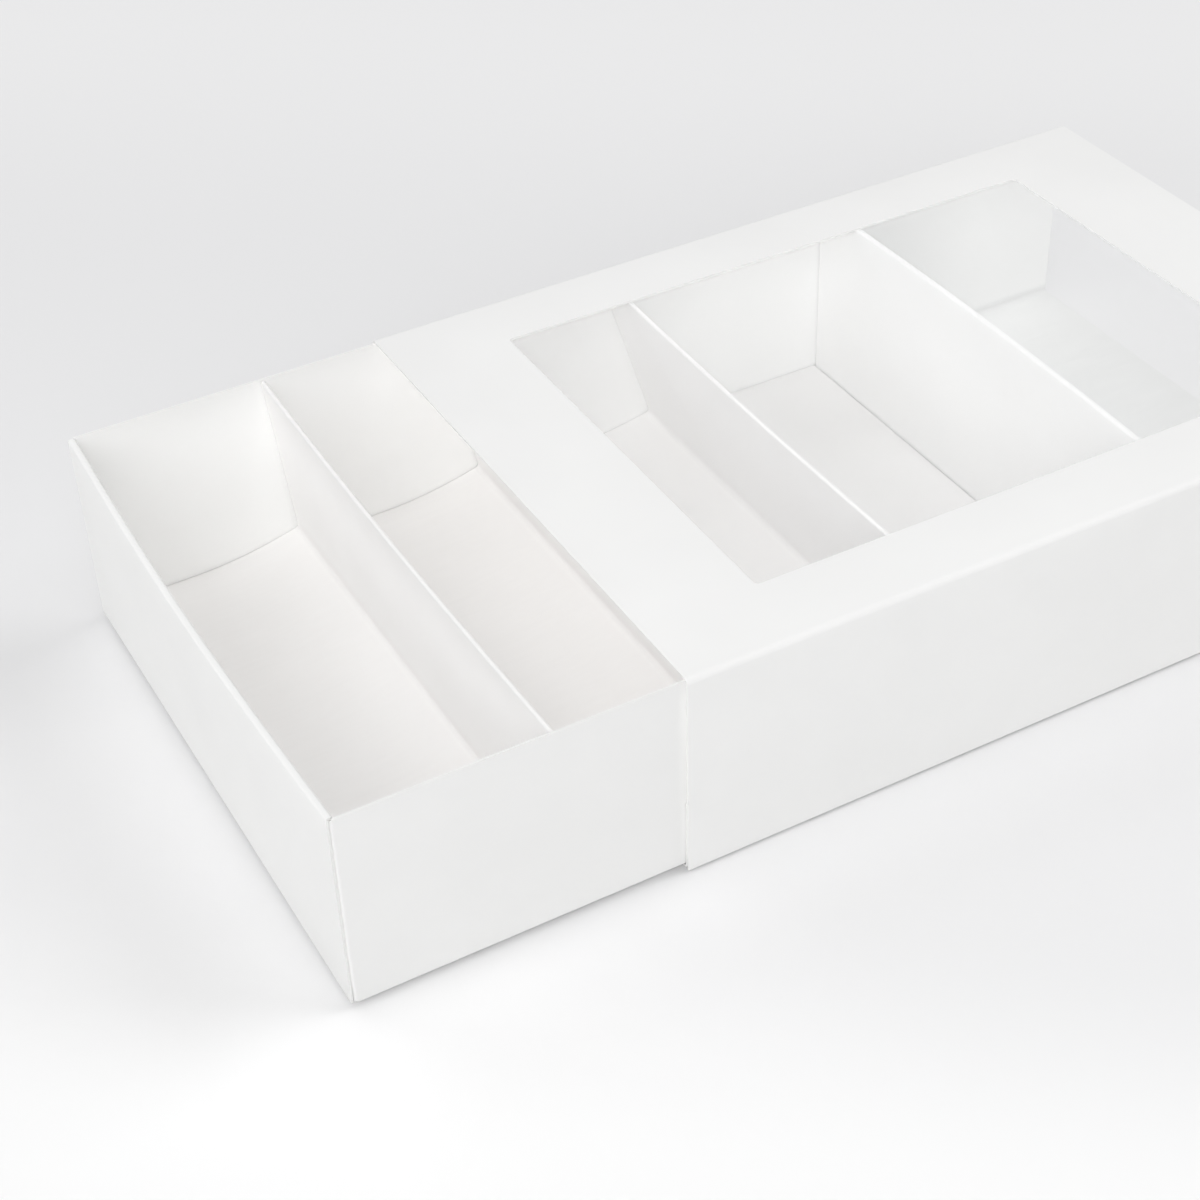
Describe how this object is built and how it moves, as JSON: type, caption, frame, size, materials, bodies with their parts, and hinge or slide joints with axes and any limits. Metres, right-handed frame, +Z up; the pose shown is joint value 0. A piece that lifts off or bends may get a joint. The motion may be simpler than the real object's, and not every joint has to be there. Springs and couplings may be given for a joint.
{
  "type": "macaron box",
  "caption": "Slide-out macaron box: a folded card tray with a ridged divider insert, in an open-ended card sleeve with a clear film window.",
  "frame": {"origin": "middle of the underside of the whole box's bounding box, on the surface it stands on, with the tray drawn part of the way out", "axes": "+X along the slide, from the drawn-out end of the tray to the far end of the sleeve; +Y across the box, away from the viewer of the picture; +Z up"},
  "size_m": [0.2768, 0.143, 0.051],
  "materials": {
    "sleeve_card": "matte white box board",
    "tray_card": "matte white box board",
    "insert_card": "matte warm white box board",
    "clear_film": "clear glossy film",
    "glue": "dried clear glue"
  },
  "bodies": {
    "sleeve": {"sleeve": "sleeve_card", "window_film": "clear_film", "window_glue_band": "glue", "seam_glue_strip": "glue"},
    "tray": {"tray": "tray_card", "divider_insert": "insert_card"}
  },
  "joints": [
    {"name": "tray_slide", "type": "slide", "parent": "sleeve", "child": "tray", "axis": [1, 0, 0], "range_m": [-0.127, 0.2768]}
  ]
}
